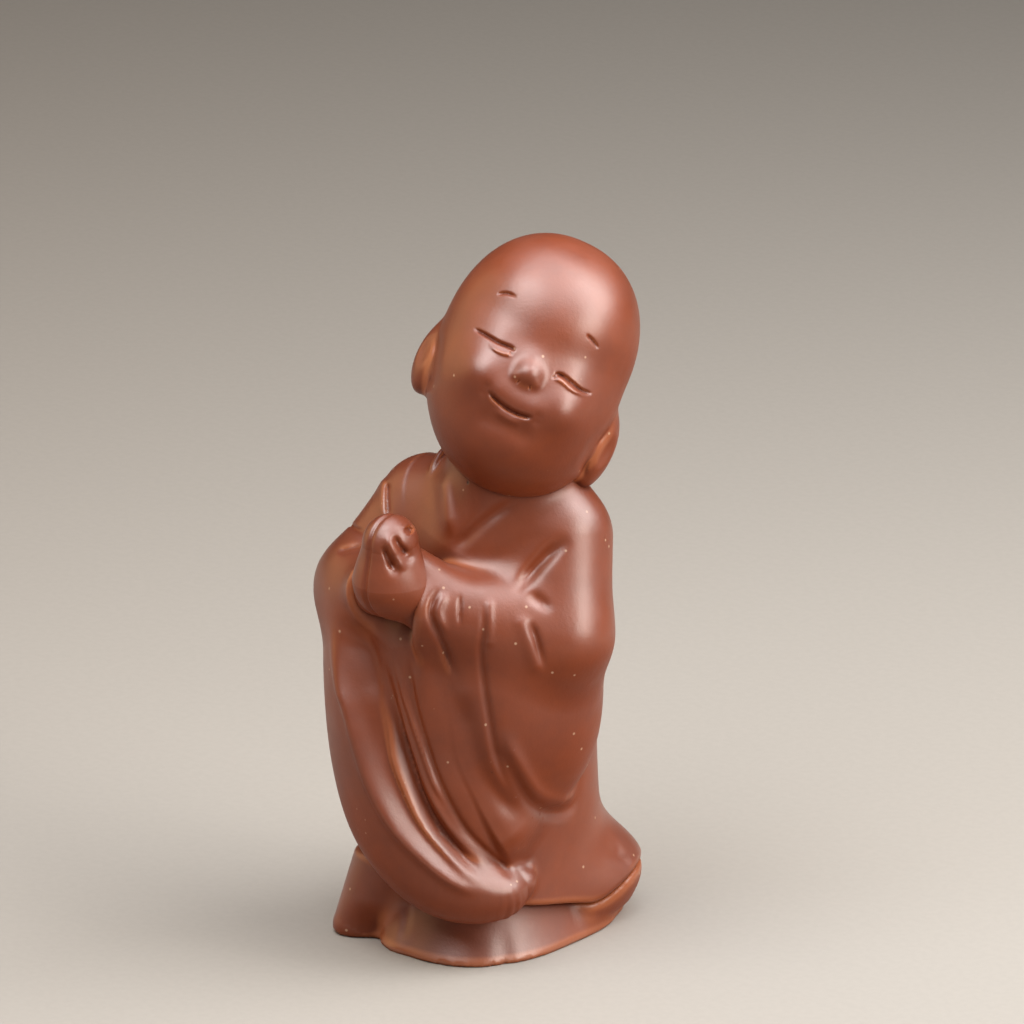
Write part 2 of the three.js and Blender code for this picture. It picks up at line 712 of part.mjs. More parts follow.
// Collar bands, lapped where they cross
const bandClears = dressedGrown.add(neckWrap(slipGap)).add(headGrown).add(handsGrown);
function bandSolid(course, by) {
  const line = new THREE.CatmullRomCurve3(course.map(drapePoint));
  const field = grown(clothRoll(course, bandSquareness), by);
  return toSolid(wrap(field, bentSpine(line), [aroundBand, perStation * course.length, perStation]));
}
const rightCollar = mainBody(bandSolid(rightBandCourse, 0).subtract(bandClears));
const leftClears = bandClears.add(bandSolid(rightBandCourse, slipGap));
const leftCollar = mainBody(bandSolid(leftBandCourse, 0).subtract(leftClears));

// Head halves, nose, lines of the face and ears, in the head's frame
const nosePlace = reachFace(0, -noseDrop);
nosePlace.y += noseSink;
const nose = new THREE.SphereGeometry(noseRadius, noseFacets, noseFacets).translate(...nosePlace);
function faceLine({ points, radius }) {
  const knots = points.map(([x, z]) => reachFace(x, z));
  const legs = knots.slice(1).map((knot, i) => [knots[i], knot]);
  const field = (p) => Math.min(...legs.map(([from, to]) => limb(p, from, to, radius, radius)));
  const spine = bentSpine(new THREE.CatmullRomCurve3(knots));
  return toSolid(wrap(field, spine, [aroundFaceLine, points.length, 1]));
}
const bareHead = toSolid(headWrap(0)).add(toSolid(nose));
const headSolid = faceLines.reduce((head, line) => head.subtract(faceLine(line)), bareHead);
const seamStep = outside + slipGap / 2;
const faceHalf = block(2 * outside, 2 * outside, 2 * outside, at(0, headSeamBack - seamStep, 0));
const napeHalf = block(2 * outside, 2 * outside, 2 * outside, at(0, headSeamBack + seamStep, 0));
const headFront = headSolid.intersect(faceHalf);
const headBack = headSolid.intersect(napeHalf);

const ear = (side) => mainBody(toSolid(earWrap(side, 0)).subtract(toSolid(bareHeadGrown)));

// The figure, stood with the middle of its box on the origin

const figure = new THREE.Group();
const headGroup = new THREE.Group();
headGroup.applyMatrix4(headMatrix);
figure.add(headGroup);

function piece(group, name, solid, color = clay.color) {
  const mesh = new THREE.Mesh(fromSolid(solid), new THREE.MeshStandardMaterial({ ...clay, color }));
  mesh.name = name;
  group.add(mesh);
}

piece(figure, 'under_robe', underRobe, tones.paler);
piece(figure, 'robe_front', robeFront);
piece(figure, 'robe_back', robeBack);
piece(figure, 'left_sleeve', leftSleeve, tones.paler);
piece(figure, 'right_sleeve', rightSleeve, tones.paler);
piece(figure, 'neck_tube', neckTube);
piece(figure, 'collar_right', rightCollar, tones.darker);
piece(figure, 'collar_left', leftCollar, tones.darker);
piece(figure, 'left_hand', leftHand, tones.darker);
piece(figure, 'right_hand', rightHand, tones.darker);
piece(headGroup, 'head_front', headFront);
piece(headGroup, 'head_back', headBack);
piece(headGroup, 'ear_left', ear(1), tones.darker);
piece(headGroup, 'ear_right', ear(-1), tones.darker);

const extent = new THREE.Box3().setFromObject(figure, true);
figure.position.set(-(extent.min.x + extent.max.x) / 2, -(extent.min.y + extent.max.y) / 2, 0);

export default figure;
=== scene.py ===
import math

import bpy
import numpy as np
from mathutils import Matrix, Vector


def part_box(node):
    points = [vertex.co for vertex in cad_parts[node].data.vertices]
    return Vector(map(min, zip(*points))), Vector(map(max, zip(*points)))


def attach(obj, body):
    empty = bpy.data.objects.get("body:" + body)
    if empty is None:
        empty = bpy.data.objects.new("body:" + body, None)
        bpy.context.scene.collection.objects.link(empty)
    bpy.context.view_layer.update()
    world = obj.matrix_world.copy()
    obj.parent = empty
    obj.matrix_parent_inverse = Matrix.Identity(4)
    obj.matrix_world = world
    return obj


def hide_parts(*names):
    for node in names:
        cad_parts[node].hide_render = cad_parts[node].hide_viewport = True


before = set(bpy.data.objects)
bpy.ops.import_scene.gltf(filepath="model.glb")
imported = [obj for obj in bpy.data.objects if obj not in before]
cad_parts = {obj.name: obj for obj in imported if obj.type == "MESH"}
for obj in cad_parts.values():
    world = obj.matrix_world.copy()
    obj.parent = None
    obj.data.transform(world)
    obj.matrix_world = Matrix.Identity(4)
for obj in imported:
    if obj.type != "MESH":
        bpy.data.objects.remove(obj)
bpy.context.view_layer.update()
print("frame loaded")

# The clay is shaped in millimetres, he faces -Y and +X is his left. Each piece is a
# distance field, negative inside, and its mesh is the field's zero skin.
mm = 0.001
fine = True


# camera and floor

photoView = {
    "around": 40,          # degrees round from his front, towards his left
    "above": 20,
    "distance": 1500,
    "lookAt": (0.0, 4.5, 57.3),
    "pixelsPerMm": 7.6,
    "framePixels": 1024,
}

def directionFrom(around, above):
    a, e = math.radians(around), math.radians(above)
    return Vector((math.sin(a) * math.cos(e), -math.cos(a) * math.cos(e), math.sin(e)))

# The fields below stand where the modeller drew them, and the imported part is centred
# on its footprint, so two flat seams of the part give the shift between them.
seams = {"palmSeamX": -0.65, "robeSeamY": 1.65}
shift = Vector((
    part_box("left_hand")[0].x / mm - seams["palmSeamX"],
    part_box("robe_back")[0].y / mm - seams["robeSeamY"],
    0,
))

def makeCamera(spec):
    data = bpy.data.cameras.new("camera")
    camera = bpy.data.objects.new("camera", data)
    bpy.context.scene.collection.objects.link(camera)
    width = spec["framePixels"] / spec["pixelsPerMm"]
    data.angle = 2 * math.atan(width / 2 / spec["distance"])
    data.clip_start, data.clip_end = 0.05, 20
    back = directionFrom(spec["around"], spec["above"])
    camera.location = (Vector(spec["lookAt"]) + shift + back * spec["distance"]) * mm
    camera.rotation_euler = (-back).to_track_quat("-Z", "Y").to_euler()
    bpy.context.scene.camera = camera

makeCamera(photoView)


# tools for fields; p is an array of points, one per row

def softMin(a, b, k):
    h = np.clip(0.5 + 0.5 * (b - a) / k, 0, 1)
    return b + (a - b) * h - k * h * (1 - h)

def softMax(a, b, k):
    return -softMin(-a, -b, k)

def ramp(x, low, high):
    t = np.clip((x - low) / (high - low), 0, 1)
    return t * t * (3 - 2 * t)

def bell(x, halfWidth):
    return np.exp(-(x / halfWidth) ** 2)

def smoothThrough(x, knots, values):
    """Smooth curve through values at knots."""
    knots, values = np.asarray(knots, float), np.asarray(values, float)
    slopes = np.gradient(values, knots, axis=0)
    i = np.clip(np.searchsorted(knots, x) - 1, 0, len(knots) - 2)
    span = (knots[i + 1] - knots[i])[:, None]
    t = np.clip((x - knots[i])[:, None] / span, 0, 1)
    start = (2 * t ** 3 - 3 * t ** 2 + 1) * values[i] + (t ** 3 - 2 * t ** 2 + t) * span * slopes[i]
    end = (3 * t ** 2 - 2 * t ** 3) * values[i + 1] + (t ** 3 - t ** 2) * span * slopes[i + 1]
    return start + end

def pointsThrough(knots, count):
    knots = np.asarray(knots, float)
    return smoothThrough(np.linspace(0, len(knots) - 1, count), np.arange(len(knots)), knots)

def limb(p, start, end, startRadius, endRadius):
    start, along = np.array(start), np.array(end) - np.array(start)
    t = np.clip((p - start) @ along / (along @ along), 0, 1)
    return np.linalg.norm(p - start - t[:, None] * along, axis=1) - (startRadius + (endRadius - startRadius) * t)

def egg(p, middle, half, square=2.0):
    q, half = np.abs(p - np.array(middle)) + 1e-6, np.array(half)
    near = ((q / half) ** square).sum(1) ** (1 / square)
    slope = np.linalg.norm((q / half) ** (square - 1) / half, axis=1) / near ** (square - 1)
    return (near - 1) / slope

def column(p, levels):
    """Superellipse ring through levels of height, middle x, middle y, half width, half depth, squareness."""
    levels = np.array(levels, float)
    middleX, middleY, halfWidth, halfDepth, square = smoothThrough(
        np.clip(p[:, 2], levels[0, 0], levels[-1, 0]), levels[:, 0], levels[:, 1:]).T
    x, y = np.abs(p[:, 0] - middleX) + 1e-6, np.abs(p[:, 1] - middleY) + 1e-6
    size = ((x / halfWidth) ** square + (y / halfDepth) ** square) ** (1 / square)
    return np.hypot(x, y) * (1 - 1 / size)

def aroundPoint(heading, height, reach):
    turn = np.radians(heading)
    return np.stack([reach * np.sin(turn), -reach * np.cos(turn), height], -1)

def clothRoll(p, course, square):
    """Flattened roll along rows of heading, height, reach, half width, half thickness."""
    course = np.array(course, float)
    knots = np.linspace(0, len(course) - 1, 4 * len(course))

    def spot(knot):
        heading, height, reach = smoothThrough(knot, np.arange(len(course)), course)[:, :3].T
        return aroundPoint(heading, height, reach)

    points = spot(knots)
    margin = course[:, 3].max() + 9
    close = np.all((p > points.min(0) - margin) & (p < points.max(0) + margin), axis=1)
    if not close.all():
        field = np.full(len(p), 9.0)
        if close.any():
            field[close] = clothRoll(p[close], course, square)
        return field
    best, nearest = np.full(len(p), 1e9), np.zeros(len(p))
    for i in range(len(points) - 1):
        along = points[i + 1] - points[i]
        t = np.clip((p - points[i]) @ along / (along @ along), 0, 1)
        squared = ((p - points[i] - t[:, None] * along) ** 2).sum(1)
        near = squared < best
        best[near] = squared[near]
        nearest[near] = knots[i] + (knots[i + 1] - knots[i]) * t[near]
    for again in range(2):
        along = (spot(nearest + 0.01) - spot(nearest - 0.01)) / 0.02
        slide = ((p - spot(nearest)) * along).sum(1) / ((along * along).sum(1) + 1e-6)
        nearest = np.clip(nearest + slide, 0, len(course) - 1)
    heading, height, reach, wide, thick = smoothThrough(nearest, np.arange(len(course)), course).T
    off = p - aroundPoint(heading, height, reach)
    outward = (off * aroundPoint(heading, 0 * heading, 1)).sum(1)
    gap = (off * off).sum(1)
    across = np.sqrt(np.maximum(gap - outward ** 2, 0))
    size = (np.abs(outward / thick) ** square + (across / wide) ** square) ** (1 / square) + 1e-6
    return np.sqrt(gap) * (1 - 1 / size)

def alongLine(q, line):
    """Distance of each row of q from a line, signed where the space is flat, and the share along it."""
    best, share, side = np.full(len(q), 1e9), np.zeros(len(q)), np.ones(len(q))
    for i in range(len(line) - 1):
        along = line[i + 1] - line[i]
        t = np.clip((q - line[i]) @ along / (along @ along), 0, 1)
        off = q - line[i] - t[:, None] * along
        distance = np.linalg.norm(off, axis=1)
        near = distance < best
        best[near], share[near] = distance[near], (i + t[near]) / (len(line) - 1)
        if q.shape[1] == 2:
            side[near] = np.sign(along[0] * off[near, 1] - along[1] * off[near, 0])
    return best * side, share

def ends(share, taper):
    return ramp(share, 0, taper) * (1 - ramp(share, 1 - taper, 1))

clothReach = 17.0       # the robe unrolls to arc and height at this reach

def onCloth(p):
    return np.stack([np.arctan2(p[:, 0], -p[:, 1]) * clothReach, p[:, 2]], -1)

def clothLine(course):
    course = np.array(course, float)
    return pointsThrough(np.stack([np.radians(course[:, 0]) * clothReach, course[:, 1]], -1), 6 * len(course))

def strokes(q, rows, reach=4.0):
    """Sum of ridges (positive) and grooves (negative): line, height, half width and taper of each."""
    total = np.zeros(len(q))
    for line, height, halfWidth, taper in rows:
        low, high = line.min(0) - reach * halfWidth, line.max(0) + reach * halfWidth
        close = np.all((q > low) & (q < high), axis=1)
        distance, share = alongLine(q[close], line)
        total[close] += height * bell(distance, halfWidth) * (ends(share, taper) if taper else 1)
    return total

photoPlane = np.array([
    [math.cos(math.radians(photoView["around"])), math.sin(math.radians(photoView["around"])), 0],
    [-math.sin(math.radians(photoView["around"])) * math.sin(math.radians(photoView["above"])),
     math.cos(math.radians(photoView["around"])) * math.sin(math.radians(photoView["above"])),
     math.cos(math.radians(photoView["above"]))],
    list(directionFrom(photoView["around"], photoView["above"])),
])

def asSeen(p):
    """Right, up and towards the viewer, in millimetres from the middle of his foot."""
    return p @ photoPlane.T

def seenLine(pixels, count=6):
    """A line read off the view, as pixels of the frame."""
    middle = np.array([490.0, 930.0])
    pixels = np.array(pixels, float)
    flat = np.stack([pixels[:, 0] - middle[0], middle[1] - pixels[:, 1]], -1) / photoView["pixelsPerMm"]
    return pointsThrough(flat, count * len(pixels))


# the robe with its sleeves

robe = {
    "levels": [
        [2.0, -0.8, 2.4, 13.2, 17.2, 2.5],
        [14.0, -0.8, 1.6, 12.7, 15.2, 2.3],
        [32.0, -0.4, 1.0, 13.3, 13.6, 2.1],
        [52.0, 0.1, 1.4, 12.8, 11.4, 2.1],
        [59.5, 0.8, 1.4, 11.0, 9.3, 2.1],
        [65.0, 2.0, 1.4, 7.6, 6.4, 2.0],
        [67.5, 2.0, 1.4, 5.4, 4.2, 2.0],
    ],
    "hem": (7.7, 0.14, 0.21),      # height on the axis, fall to his left, fall to his back
    "hemRound": 1.0,
    "hemLift": (6.2, 13.0, 23.0),  # rise of the hem at the corner of the train, and where it runs
    "wall": 3.2,
    "hollowTop": 46.0,
    "heel": ((4.6, 12.6, 5.9), (8.8, 9.0, 5.7)),
    "heelRun": 6.5,
    "panelEdge": [[13, 47], [17, 40], [22, 30.4], [29, 25], [37, 20], [46, 15.5], [55, 11.5]],
    "panelRise": 3.2,
    "panelBevel": 2.4,
    "panelFade": 13.0,
    # chest under the chin, and the slope from the neck to his right shoulder
    "chest": ((1.5, -0.8, 56.0), (4.0, 0.2, 66.0), 9.6, 8.4),
    "nape": ((0.5, 1.0, 59.0), (-7.6, -1.0, 56.0), 5.7, 5.2),
}
neck = {"foot": (2.0, 1.2, 58.0), "top": (4.0, 1.8, 72.0), "radius": 7.2}
leftArm = {
    "shoulder": (10.6, 1.8, 57.2), "elbow": (13.6, -2.0, 45.5), "wrist": (2.6, -15.8, 50.2),
    "radii": (6.3, 6.2, 4.3),
    "cuff": ((3.9, -18.5, 51.0), (-0.88, -0.46, 0.1)),      # a point on the rim and the way it faces
    "overWrist": ((0.6, -16.2, 55.4), (5.8, -12.3, 51.2), 2.8, 3.0),
}
rightArm = {
    "shoulder": (-9.4, -1.2, 57.8), "elbow": (-14.8, -7.5, 46.8), "wrist": (-5.4, -16.2, 51.0),
    "radii": (6.4, 6.2, 4.3),
    "cuff": ((-6.6, -18.0, 51.0), (0.88, -0.46, 0.1)),
}
cuffRound = 0.9
curtain = {"thick": 2.8, "thin": 0.12, "length": 16.0, "end": 0.04}
shoulderRun = 5.0
pouch = {"heading": 66, "reach": 8.2, "height": 38.0, "half": (11.2, 9.6, 18.0), "square": 2.4, "run": 4.0}
drapeCourse = [
    [-52, 48.0, 16.6, 5.5, 4.6],
    [-42, 42.0, 17.0, 7.0, 5.0],
    [-32, 35.0, 17.0, 7.6, 5.2],
    [-23, 27.5, 16.8, 7.6, 5.2],
    [-11, 20.4, 16.4, 7.0, 5.0],
    [6, 14.8, 15.6, 6.0, 4.6],
    [24, 11.8, 14.8, 5.2, 4.2],
    [43, 10.8, 13.6, 4.2, 3.8],
    [54, 11.2, 12.3, 3.1, 2.7],
]
drapeSquare = 2.4
drapeSlope = {"from": 0.0, "to": 6.0, "fall": 3.2}
# Cloth between the crest and the panel
innerCourse = [
    [-9, 44.0, 14.0, 6.0, 4.0],
    [2, 36.0, 13.7, 6.4, 3.9],
    [8, 30.0, 13.5, 6.2, 3.8],
    [17, 24.0, 13.3, 5.6, 3.7],
    [27, 18.5, 12.8, 4.5, 3.2],
    [37, 14.5, 12.0, 3.4, 2.7],
    [46, 12.0, 11.0, 2.6, 2.2],
]
crest = clothLine([[-36, 46.5], [-24, 38.3], [-17, 34.5], [-7, 26.4], [3, 20.8], [16, 16.4], [30, 13.1], [42, 11.3], [54, 11.1], [70, 11.0]])
panelLine = clothLine(robe["panelEdge"])

# Folds as heading and height on the cloth, with height of relief, half width and taper
clothFolds = [
    (clothLine([[-36, 46.5], [-24, 38.3], [-17, 34.5], [-7, 26.4], [3, 20.8], [16, 16.4], [28, 13.4], [38, 11.9]]), 0.8, 0.9, 0.2),
    (clothLine([[-31, 47], [-19, 38.5], [-12, 33.5], [-4, 27.2], [5, 21.8], [17, 17.2], [29, 13.9], [38, 12.1]]), -0.85, 0.9, 0.25),
    (clothLine([[-16, 44], [-10, 38.0], [-5, 33.6], [-1, 29.1], [5, 24.6], [12, 20.6], [22, 17.0], [31, 14.3], [40, 12.6]]), 0.6, 0.6, 0.3),
    (clothLine([[-10, 42], [-4, 35.8], [3, 29.0], [10, 23.4], [19, 18.9], [30, 15.5], [41, 13.1]]), -0.55, 0.5, 0.3),
    (clothLine([[-7, 42.8], [-1, 36.7], [6, 30.4], [13, 25.0], [22, 20.2], [33, 16.4], [44, 13.6]]), 0.5, 0.6, 0.3),
    (clothLine([[-4, 43], [2, 37.4], [8, 32.2], [14, 27.2], [20, 23.2]]), 0.45, 0.45, 0.25),
    (clothLine([[3, 44], [5, 38.7], [13, 30.0], [20, 24.8], [30, 19.4], [45, 14.6], [54, 12.4]]), -0.4, 0.5, 0.15),
    # lower edge of the pouch
    (clothLine([[39, 40.9], [44, 32.9], [47, 30.1], [61, 23.0], [78, 20.0], [98, 18.9], [107, 20.5], [108, 26.5]]), -0.45, 0.9, 0.3),
    (clothLine([[45, 35.5], [50, 31.0], [62, 25.0], [78, 22.2], [96, 21.2], [104, 22.8]]), 0.5, 1.1, 0.25),
    (clothLine([[28, 40], [31, 35], [37, 28.5], [46, 24], [56, 21.4]]), -0.55, 1.3, 0.25),
]
# Lapels laid on the chest, as heading and height
lapels = {
    "right": [[-85, 63.2], [-72, 62.6]],
    "left": [[110, 63.4], [96, 63.2], [80, 62.2], [66, 61.2]],
    "nape": [[-215, 64.2], [-185, 64.2], [-130, 63.8], [-85, 63.2]],
    "half": (3.2, 0.7),
    "square": 3.0,
    "run": 0.7,
}

# Folds read off the view, in pixels of its frame
seenFolds = [
    # armpit and elbow of his left sleeve
    (seenLine([[514, 597], [526, 579], [541, 561], [556, 547], [572, 537]]), -0.8, 0.9, 0.4),
    # edge of his right lapel, and the valley where the robe laps over
    (seenLine([[441, 470], [444, 490], [447, 515], [452, 540]]), 0.6, 1.0, 0.3),
    (seenLine([[452, 552], [470, 535], [492, 516], [520, 497]]), -0.5, 0.8, 0.3),
    (seenLine([[524, 592], [539, 600], [553, 614]]), -0.4, 0.8, 0.45),
    (seenLine([[528, 618], [536, 638], [545, 672]]), -0.5, 0.5, 0.4),
    (seenLine([[522, 622], [529, 644], [536, 664]]), 0.25, 0.9, 0),
    # dimple on the corner of the train
    (seenLine([[611, 840], [617, 855], [627, 864], [640, 866]]), -0.3, 0.8, 0.4),
    # cuff of his left sleeve
    (seenLine([[441, 585], [434, 600], [432, 614], [440, 634], [449, 655], [456, 680]]), -0.55, 0.5, 0.25),
    (seenLine([[449, 590], [441, 604], [440, 616], [448, 636]]), 0.3, 0.6, 0.25),
    (seenLine([[461, 592], [460, 626]]), -0.3, 0.3, 0.35),
    (seenLine([[485, 598], [484, 632], [482, 655], [487, 700], [498, 760], [516, 800]]), -0.45, 0.5, 0.25),
    (seenLine([[490, 604], [489, 640]]), 0.2, 0.6, 0),
    (seenLine([[468, 650], [467, 700], [478, 750], [496, 800]]), 0.35, 1.8, 0.3),
    # step and pleats on his right shoulder
    (seenLine([[388, 480], [388, 498], [389, 520]]), -0.45, 0.35, 0.25),
    (seenLine([[383, 484], [383, 502], [384, 516]]), 0.25, 0.7, 0),
    (seenLine([[348, 523], [356, 529], [366, 533]]), -0.35, 0.4, 0.35),
    (seenLine([[336, 553], [350, 549], [366, 545]]), -0.35, 0.4, 0.35),
]

def headingPlane(p, heading):
    turn = math.radians(heading)
    across = p[:, 0] * math.cos(turn) + p[:, 1] * math.sin(turn)
    outward = p[:, 0] * math.sin(turn) - p[:, 1] * math.cos(turn)
    return across, outward

def hemPlane(p):
    height, fallLeft, fallBack = robe["hem"]
    lift, start, end = robe["hemLift"]
    height = height + lift * ramp(p @ photoPlane[0], start, end)
    tilt = math.sqrt(1 + fallLeft ** 2 + fallBack ** 2)
    return (height - fallLeft * p[:, 0] - fallBack * p[:, 1] - p[:, 2]) / tilt

def upperArm(p, arm):
    return limb(p, arm["shoulder"], arm["elbow"], *arm["radii"][:2])

def armField(p, arm, run):
    upper = upperArm(p, arm)
    fore = limb(p, arm["elbow"], arm["wrist"], *arm["radii"][1:])
    rim, way = np.array(arm["cuff"][0]), np.array(arm["cuff"][1])
    fore = softMax(fore, (p - rim) @ way / np.linalg.norm(way), cuffRound)
    return softMin(upper, fore, run)

def curtainField(p):
    """Cloth that hangs from the left forearm."""
    start, along = np.array(leftArm["elbow"]), np.array(leftArm["wrist"]) - leftArm["elbow"]
    flat = np.array([along[0], along[1], 0])
    t = np.clip((p - start) @ flat / (flat @ flat), 0, 1)
    off = p - start - t[:, None] * along
    above = np.maximum(off[:, 2], 0)
    below = np.maximum(-off[:, 2], 0)
    rim, way = np.array(leftArm["cuff"][0]), np.array(leftArm["cuff"][1])
    sheet = np.sqrt(off[:, 0] ** 2 + off[:, 1] ** 2 + above ** 2) - curtain["thick"] + curtain["thin"] * below
    sheet = sheet + curtain["end"] * np.maximum(below - curtain["length"], 0) ** 2
    return softMax(sheet, (p - rim) @ way / np.linalg.norm(way), cuffRound)

def leftSleeveField(p):
    across, outward = headingPlane(p, pouch["heading"])
    local = np.stack([across, outward - pouch["reach"], p[:, 2] - pouch["height"]], -1)
    hanging = softMin(egg(local, (0, 0, 0), pouch["half"], pouch["square"]), curtainField(p), 4.0)
    arm = softMin(armField(p, leftArm, 2.6), limb(p, *leftArm["overWrist"]), 2.0)
    return softMin(arm, hanging, pouch["run"])

def rightSleeveField(p):
    cloth = onCloth(p)
    fromCrest, share = alongLine(cloth, crest)
    fall = drapeSlope["fall"] * ramp(fromCrest, drapeSlope["from"], drapeSlope["to"]) * ends(share, 0.06)
    drape = softMin(clothRoll(p, drapeCourse, drapeSquare) + fall, clothRoll(p, innerCourse, 2.2), 3.0)
    return softMin(armField(p, rightArm, 3.0), drape, 4.0)

def bareRobeField(p):
    return np.maximum(column(p, robe["levels"]), p[:, 2] - robe["levels"][-1][0])

def panelField(p):
    distance, share = alongLine(onCloth(p), panelLine)
    bevel = robe["panelBevel"]
    rise = ramp(distance, -bevel / 2, bevel / 2) * (1 - ramp(distance, bevel, robe["panelFade"]))
    return robe["panelRise"] * rise * ramp(share, 0, 0.13) * (1 - ramp(share, 0.75, 1.0))

def onRobe(course):
    """The course with the reach of the bare robe under each point."""
    course = np.array(course, float)
    reach = np.zeros(len(course))
    for step in range(120):
        reach -= 0.6 * bareRobeField(aroundPoint(course[:, 0], course[:, 1], reach))
    return [[heading, height, out, *lapels["half"]] for (heading, height), out in zip(course, reach)]

bandCourses = [onRobe(lapels["nape"] + lapels["right"][1:]), onRobe(lapels["left"])]

def heelField(p, rise=0.0):
    return softMin(bareRobeField(p) - rise, egg(p, *robe["heel"]), robe["heelRun"])

def bodyField(p):
    body = heelField(p, panelField(p))
    body = softMin(softMin(body, limb(p, *robe["chest"]), 3.0), limb(p, *robe["nape"]), 3.0)
    body = softMin(body, limb(p, neck["foot"], neck["top"], neck["radius"], neck["radius"]), 2.5)
    body = softMin(softMin(body, upperArm(p, rightArm), shoulderRun), upperArm(p, leftArm), shoulderRun)
    high = p[:, 2] > 48
    for course in bandCourses:
        body[high] = softMin(body[high], clothRoll(p[high], course, lapels["square"]), lapels["run"])
    return body

def robeOuterField(p):
    body = softMax(softMin(bodyField(p), leftSleeveField(p), 2.0), hemPlane(p), robe["hemRound"])
    sleeve = np.maximum(rightSleeveField(p), skirt["gap"] - skirtOuterField(p))
    dressed = softMin(body, sleeve, 1.2)
    seen = asSeen(p)
    facing = ramp(seen[:, 2], -2.0, 2.0)
    return dressed - strokes(onCloth(p), clothFolds) - strokes(seen[:, :2], seenFolds) * facing

def robeField(p):
    cut = np.maximum(robeOuterField(p), p[:, 2] - neck["top"][2])
    hollow = np.maximum(bareRobeField(p) + robe["wall"], p[:, 2] - robe["hollowTop"])
    return np.maximum(cut, -hollow)


# the under robe that he stands on

skirt = {
    "half": (13.6, 18.3),
    "middle": (-0.6, 2.6),
    "flare": (2.6, 3.4),
    "shares": [[0, 0], [2.7, 0.5], [5.5, 0.9], [16.0, 1.1]],     # height, share of the flare lost
    "square": 2.5,
    "wall": 3.6,
    "cornerTop": (-7.4, -7.4, 16.0),
    "cornerTip": (-12.3, -12.6, 1.0),
    "cornerRadii": (6.0, 3.4),
    "gap": 0.1,
    "lipInset": 0.5,
    "lipFoot": 1.0,
    "lipRun": (7.0, 14.0),
    # notches and small lobes of the ground edge: heading, height, share of the way in
    "scallops": [(-32, 0.9), (-14, -0.4), (48, 0.3), (140, 0.3), (165, 0.4), (190, 0.3)],
    "folds": [
        (clothLine([[-20, 7.5], [-14, 4.0], [-11, 1.0]]), -0.25, 0.9, 0.3),
    ],
}

def skirtColumn(p, inset=0.0):
    levels = [
        [height, *skirt["middle"], skirt["half"][0] - skirt["flare"][0] * share,
         skirt["half"][1] - skirt["flare"][1] * share, skirt["square"]]
        for height, share in skirt["shares"]
    ]
    return column(p, levels) + inset

def scallop(p):
    heading = np.degrees(np.arctan2(p[:, 0], -p[:, 1])) % 360
    low = 1 - ramp(p[:, 2], 0.5, 6.0)
    return low * sum(depth * bell((heading - place + 180) % 360 - 180, 6.0) for place, depth in skirt["scallops"])

def skirtOuterField(p):
    corner = limb(p, skirt["cornerTop"], skirt["cornerTip"], *skirt["cornerRadii"])
    ring = softMin(skirtColumn(p), corner, 5.0) + scallop(p)
    # The lip shows under the raised corner of the train
    start, end = skirt["lipRun"]
    lip = softMax(heelField(p) + skirt["lipInset"], skirt["lipFoot"] - p[:, 2], 1.5)
    return softMin(ring, lip + 4 * (1 - ramp(p @ photoPlane[0], start, end)), 1.5)

def skirtField(p):
    outer = softMax(skirtOuterField(p) - strokes(onCloth(p), skirt["folds"]), -p[:, 2], 0.8)
    outer = softMax(outer, -hemPlane(p) + skirt["gap"], 0.9)
    return np.maximum(outer, -skirtColumn(p, skirt["wall"]))


# the hands, pressed palm to palm

hands = {
    "heel": (-0.8, -19.2, 54.6),
    "tips": (-0.5, -19.5, 59.6),
    "radii": (5.0, 3.9),
    "flat": 0.9,           # width across the palms against depth
    "wristRadius": 3.4,
    # grooves between the fingers, read off the view
    "grooves": [
        [[395, 534], [401, 546], [409, 555]],
        [[384, 544], [390, 558], [396, 570]],
        [[407, 526], [414, 533]],
    ],
    "grooveEnds": [[[405, 551], [410, 556]], [[393, 564], [396, 569]]],
}
fingerRows = [(seenLine(line), -0.6, 0.4, 0.3) for line in hands["grooves"]]
fingerRows += [(seenLine(line), -0.35, 0.7, 0) for line in hands["grooveEnds"]]
fingerRows += [(seenLine([[388, 531], [392, 545], [401, 561], [404, 572]]), 0.4, 0.6, 0.3)]

def handsField(p):
    seam = hands["heel"][0]
    q = p.copy()
    q[:, 0] = seam + (p[:, 0] - seam) / hands["flat"]
    palms = limb(q, hands["heel"], hands["tips"], *hands["radii"])
    wrists = [limb(p, hands["heel"], arm["wrist"], hands["wristRadius"], hands["wristRadius"]) for arm in (leftArm, rightArm)]
    folded = softMin(softMin(palms, wrists[0], 2.5), wrists[1], 2.5)
    parting = 0.35 * bell(p[:, 0] - seam, 0.35)
    return folded - strokes(asSeen(p)[:, :2], fingerRows) + parting


# the head, in its own frame: x to his left, y back, z to the crown

head = {
    "place": (5.1, 2.6, 79.5),
    "turn": 40, "nod": 20, "tilt": 25,
    "cranium": ((-0.4, 0.6, 2.0), (12.7, 14.0, 15.4), 2.2),
    "cheeks": ((0.4, -1.2, -5.4), (11.4, 12.0, 9.2)),
    "jaw": ((1.4, -2.6, -9.3), (9.8, 9.8, 8.0)),
    "ears": [((-12.0, 1.4, -4.6), (2.4, 3.6, 5.1)), ((12.0, 1.6, -6.6), (2.5, 3.6, 5.6))],
    "bowls": [((-14.2, -2.6, -4.2), (1.5, 2.2, 2.8)), ((14.4, -2.1, -6.0), (1.6, 2.0, 3.0))],
    "nose": ((0.1, -13.5, -1.5), (1.55, 1.55, 1.4)),
}

